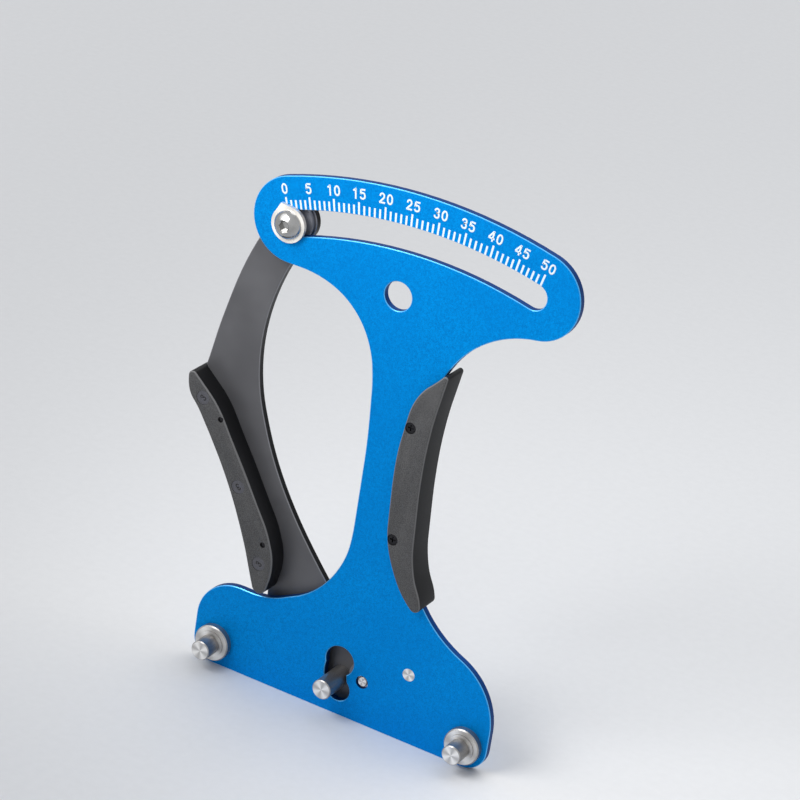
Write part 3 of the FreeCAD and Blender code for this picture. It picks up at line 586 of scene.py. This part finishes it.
def ejector_faces():
    """The smooth discs that the ejector pins leave."""
    discs = bmesh.new()
    for where in cavity_places():
        bmesh.ops.create_cone(discs, cap_ends=True, segments=40,
                              radius1=(EJECTOR_R - DISC_PLAY) * MM,
                              radius2=(EJECTOR_R - DISC_DRAFT) * MM,
                              depth=DISC_THICK * MM, matrix=where)
    return discs


SEAM = 0.001                    # corners of the CAD mesh that are nearer than this are one
FLAT = math.radians(1.0)        # faces that meet at less are one flat face
EDGE = math.radians(25)         # edges that bend by more are rounded
SHARP = math.radians(32)        # edges that bend by more stay sharp in the shading
EDGE_ROUND = 0.14               # how wide a mould rounds the grips' edges


def merged(node):
    """A copy of a CAD piece's mesh whose faces hang together."""
    shape = bmesh.new()
    shape.from_mesh(frame["nodes"][node].data)
    bmesh.ops.remove_doubles(shape, verts=shape.verts, dist=SEAM * MM)
    return shape


def in_place_of(node, name, shape, finish, body):
    """A smooth piece that takes the place of a CAD piece."""
    for face in shape.faces:
        face.smooth = True
    made = piece(name, shape, finish, body)
    made.data.set_sharp_from_angle(angle=SHARP)
    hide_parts(node)
    return made


def soft_edged(node, finish, body):
    """A CAD piece again, with all its sharp edges rounded as a mould leaves them."""
    shape = merged(node)
    bmesh.ops.dissolve_limit(shape, angle_limit=FLAT, verts=shape.verts, edges=shape.edges)
    sharp = [e for e in shape.edges if e.is_manifold and e.calc_face_angle() > EDGE]
    bmesh.ops.bevel(shape, geom=sharp, offset=EDGE_ROUND * MM, offset_type="OFFSET", segments=2,
                    profile=0.5, affect="EDGES", clamp_overlap=True, material=-1)
    in_place_of(node, node + "_soft", shape, finish, body)


def wound_spring(finish):
    """The spring again as one smooth mesh that stays where it is."""
    made = in_place_of("torsion_spring", "wound_spring", merged("torsion_spring"), finish, None)
    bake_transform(made)


# Dressing the meter

GRIPS = ("plate_grip", "lever_grip")
STEEL_NODES = ("post_left", "post_right", "collar_left", "collar_right", "moving_post",
               "spring_anchor_stud", "spring_hook_stud", "pivot_pin", "rear_washer",
               "spring_sleeve")


def dress(finish, *nodes):
    """Give CAD pieces a finish."""
    for node in nodes:
        mesh = frame["nodes"][node].data
        mesh.materials.clear()
        mesh.materials.append(finish)


wire = spring_wire()
plastic = grip_plastic()
dress(blue_anodised(), "dial_plate")
dress(black_lever(), "lever_arm")
dress(wire, "torsion_spring")
dress(bronze_bush(), "lever_bush")
dress(bright_plate(), "dome_nut", "pointer_screw", "pointer_nut")
dress(plastic, *GRIPS)
dress(screw_black(), "plate_grip_screws", "lever_grip_screws")
dress(washer_plastic(), "thrust_washer", "pointer_slide_washer")
dress(turned("pointer_sleeve_steel", middle("pointer_sleeve"), light=(228, 226, 234),
             dark=(206, 204, 214), metallic=0.5), "pointer_sleeve")
# The pointer's point lies off its middle, so its rings run round the screw
dress(turned("pointer_washer_steel", middle("pointer_screw"), light=(248, 244, 237),
             dark=(184, 178, 172), metallic=0.4), "pointer_washer")
for node in STEEL_NODES:
    dress(turned(node + "_steel", middle(node)), node)

for node in GRIPS:
    soft_edged(node, plastic, frame["nodes"][node]["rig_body"])
wound_spring(wire)

white = scale_print()
piece("scale_ticks", scale_ticks(), white, "meter")
piece("scale_numbers", scale_numbers(), white, "meter")
piece("cavity_numbers", cavity_numbers(),
      smooth_plastic("moulded_number_plastic", (26, 26, 28), (36, 36, 38)),
      "lever")
piece("ejector_faces", ejector_faces(),
      smooth_plastic("ejector_mark_plastic", (70, 70, 76), (84, 84, 90)),
      "lever")

# Floor, light and camera

FLOOR_SIZE = 6.0                # metres
WORLD_LIGHT = 0.42              # strength of the world on the meter
WORLD_SHOWN = 0.8               # and as the camera and reflections see it

floor_shape = bmesh.new()
bmesh.ops.create_grid(floor_shape, x_segments=1, y_segments=1, size=FLOOR_SIZE)
floor = solid("floor", floor_shape, pale_floor())

world = bpy.data.worlds.new("studio")
world.use_nodes = True
bpy.context.scene.world = world
sky = Nodes(world.node_tree, "Background")
sky.feed("color", shade(236, 238, 241))
by_camera, by_gloss, by_glass = (sky.node("ShaderNodeLightPath", out=rays) for rays in
                                 ("Is Camera Ray", "Is Glossy Ray", "Is Transmission Ray"))
shown = (by_camera + by_gloss + by_glass).between(0.0, 1.0)
sky.feed("strength", WORLD_LIGHT + shown * (WORLD_SHOWN - WORLD_LIGHT))


def aimed(name, light, at, towards):
    """A lamp at a place on the drawing, turned towards another."""
    made = in_scene(name, light)
    made.location = spot(*at)
    made.rotation_euler = (spot(*towards) - made.location).to_track_quat("-Z", "Y").to_euler()


def sky_panel(name, at, strength, wide_deg):
    """A wide soft light from far away, which lights the whole floor evenly."""
    light = bpy.data.lights.new(name, "SUN")
    light.energy = strength
    light.angle = math.radians(wide_deg)
    aimed(name, light, at, (0, 0, 0))


def softbox(name, at, towards, size, power, spread_deg):
    """A small soft lamp. Its size is in metres."""
    light = bpy.data.lights.new(name, "AREA")
    light.shape = "RECTANGLE"
    light.size, light.size_y = size
    light.energy = power
    light.spread = math.radians(spread_deg)
    aimed(name, light, at, towards)


sky_panel("top_panel", (100, 500, 1000), 1.3, 60)
sky_panel("front_panel", (-750, -550, 600), 0.5, 45)
softbox("head_softbox", (-120, -190, 300), (-10, 0, 180), (0.2, 0.16), 0.26, 80)

EYE = (385.0, -805.2, 503.9)
RIGHT = Vector((0.86120, 0.48739, 0.14416))
UP = Vector((-0.32062, 0.30088, 0.89815))
camera = bpy.data.cameras.new("camera")
camera.sensor_width = 36.0
camera.lens = 149.36
camera.clip_start = 0.05        # metres
eye = in_scene("camera", camera)
eye.matrix_world = Matrix.Translation(spot(*EYE)) @ laid_along(RIGHT, UP, RIGHT.cross(UP))
bpy.context.scene.camera = eye
bpy.context.scene.view_settings.view_transform = "Standard"
